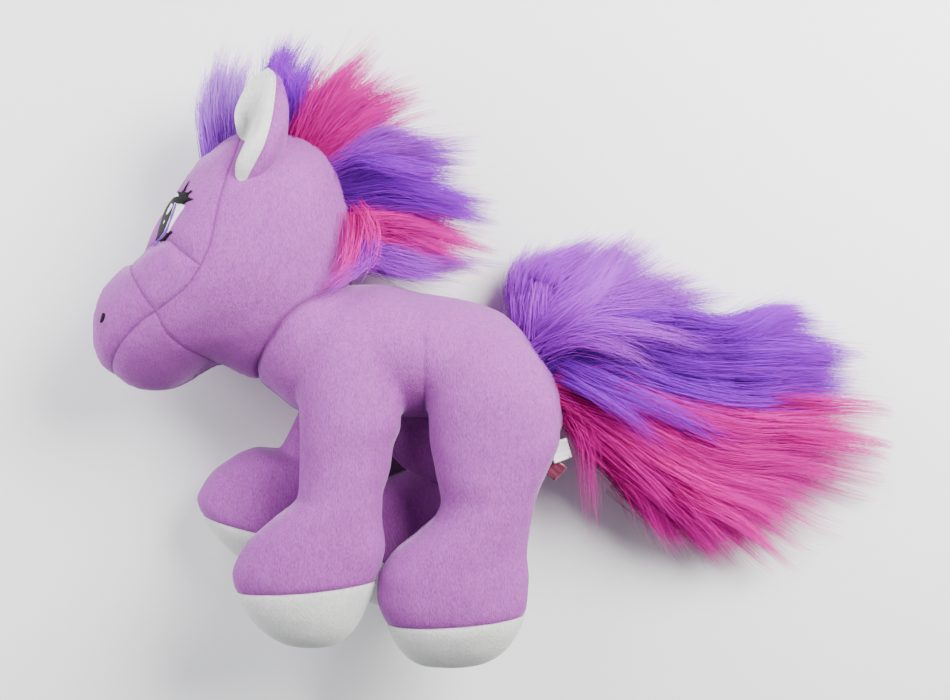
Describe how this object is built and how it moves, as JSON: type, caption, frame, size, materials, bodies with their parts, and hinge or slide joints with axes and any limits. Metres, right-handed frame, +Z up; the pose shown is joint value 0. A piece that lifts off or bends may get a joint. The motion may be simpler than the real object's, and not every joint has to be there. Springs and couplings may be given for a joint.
{
  "type": "plush pony",
  "caption": "Lilac plush pony lying on its side, with fur mane and tail, white hooves and embroidered eyes; head, ears, legs and tail flex.",
  "frame": {"origin": "middle of the lying toy's footprint, on the surface it lies on", "axes": "+X from head to tail, +Y from hooves to back, +Z up, out of the toy's left side"},
  "size_m": [0.4055, 0.3094, 0.1025],
  "materials": {
    "lilac_pile": "matte",
    "white_pile": "matte",
    "stuffing": "matte",
    "thread_white": "matte",
    "thread_violet": "matte",
    "thread_dark": "matte",
    "fur_lavender": "matte",
    "fur_purple": "matte",
    "fur_pink": "matte",
    "fur_backing": "matte",
    "ribbon": "matte",
    "care_label": "matte"
  },
  "bodies": {
    "torso": {"torso_left_panel": "lilac_pile", "torso_right_panel": "lilac_pile", "belly_panel": "lilac_pile", "torso_stuffing": "stuffing", "label_ribbon": "ribbon", "care_label": "care_label"},
    "left_front_leg": {"left_front_leg_outer_panel": "lilac_pile", "left_front_leg_inner_panel": "lilac_pile", "left_front_leg_hoof_outer": "white_pile", "left_front_leg_hoof_inner": "white_pile", "left_front_leg_stuffing": "stuffing"},
    "left_hind_leg": {"left_hind_leg_outer_panel": "lilac_pile", "left_hind_leg_inner_panel": "lilac_pile", "left_hind_leg_hoof_outer": "white_pile", "left_hind_leg_hoof_inner": "white_pile", "left_hind_leg_stuffing": "stuffing"},
    "right_front_leg": {"right_front_leg_outer_panel": "lilac_pile", "right_front_leg_inner_panel": "lilac_pile", "right_front_leg_hoof_outer": "white_pile", "right_front_leg_hoof_inner": "white_pile", "right_front_leg_stuffing": "stuffing"},
    "right_hind_leg": {"right_hind_leg_outer_panel": "lilac_pile", "right_hind_leg_inner_panel": "lilac_pile", "right_hind_leg_hoof_outer": "white_pile", "right_hind_leg_hoof_inner": "white_pile", "right_hind_leg_stuffing": "stuffing"},
    "head": {"face_panel": "lilac_pile", "left_cheek": "lilac_pile", "right_cheek": "lilac_pile", "muzzle_saddle": "lilac_pile", "nose_panel": "lilac_pile", "left_jaw": "lilac_pile", "right_jaw": "lilac_pile", "head_stuffing": "stuffing", "nostril_stitches": "thread_dark", "left_eye_white": "thread_white", "left_eye_iris": "thread_violet", "left_eye_pupil": "thread_dark", "left_eye_lashes": "thread_dark", "right_eye_white": "thread_white", "right_eye_iris": "thread_violet", "right_eye_pupil": "thread_dark", "right_eye_lashes": "thread_dark", "mane_backing": "fur_backing", "mane_forelock": "fur_lavender", "mane_purple_front": "fur_purple", "mane_pink_front": "fur_pink", "mane_lavender_middle": "fur_lavender", "mane_purple_back": "fur_purple", "mane_pink_back": "fur_pink", "mane_lavender_back": "fur_lavender"},
    "left_ear": {"left_ear_inner": "white_pile", "left_ear_outer": "lilac_pile"},
    "right_ear": {"right_ear_inner": "white_pile", "right_ear_outer": "lilac_pile"},
    "tail": {"tail_backing": "fur_backing", "tail_lavender": "fur_lavender", "tail_purple": "fur_purple", "tail_pink": "fur_pink"}
  },
  "joints": [
    {"name": "neck_nod", "type": "hinge", "parent": "torso", "child": "head", "pos_m": [-0.097, 0.014, 0.051], "axis": [0, 0, 1], "range_deg": [-8, 15], "stiffness_Nm_per_rad": 0.25},
    {"name": "left_front_swing", "type": "hinge", "parent": "torso", "child": "left_front_leg", "pos_m": [-0.0718, -0.0264, 0.051], "axis": [0, 0, 1], "range_deg": [-25, 0], "stiffness_Nm_per_rad": 0.12},
    {"name": "left_hind_swing", "type": "hinge", "parent": "torso", "child": "left_hind_leg", "pos_m": [-0.0048, -0.0297, 0.051], "axis": [0, 0, 1], "range_deg": [0, 20], "stiffness_Nm_per_rad": 0.12},
    {"name": "right_front_swing", "type": "hinge", "parent": "torso", "child": "right_front_leg", "pos_m": [-0.0759, -0.0142, 0.051], "axis": [0, 0, 1], "range_deg": [-20, 0], "stiffness_Nm_per_rad": 0.12},
    {"name": "right_hind_swing", "type": "hinge", "parent": "torso", "child": "right_hind_leg", "pos_m": [-0.0048, -0.023, 0.051], "axis": [0, 0, 1], "range_deg": [0, 20], "stiffness_Nm_per_rad": 0.12},
    {"name": "tail_swing", "type": "hinge", "parent": "torso", "child": "tail", "pos_m": [0.027, 0, 0.051], "axis": [0, 0, 1], "range_deg": [-12, 18], "stiffness_Nm_per_rad": 0.08},
    {"name": "left_ear_flop", "type": "hinge", "parent": "head", "child": "left_ear", "pos_m": [-0.117, 0.085, 0.099], "axis": [1, 0, 0], "range_deg": [-15, 15], "stiffness_Nm_per_rad": 0.06},
    {"name": "right_ear_flop", "type": "hinge", "parent": "head", "child": "right_ear", "pos_m": [-0.117, 0.085, 0.003], "axis": [1, 0, 0], "range_deg": [-12, 12], "stiffness_Nm_per_rad": 0.06}
  ]
}
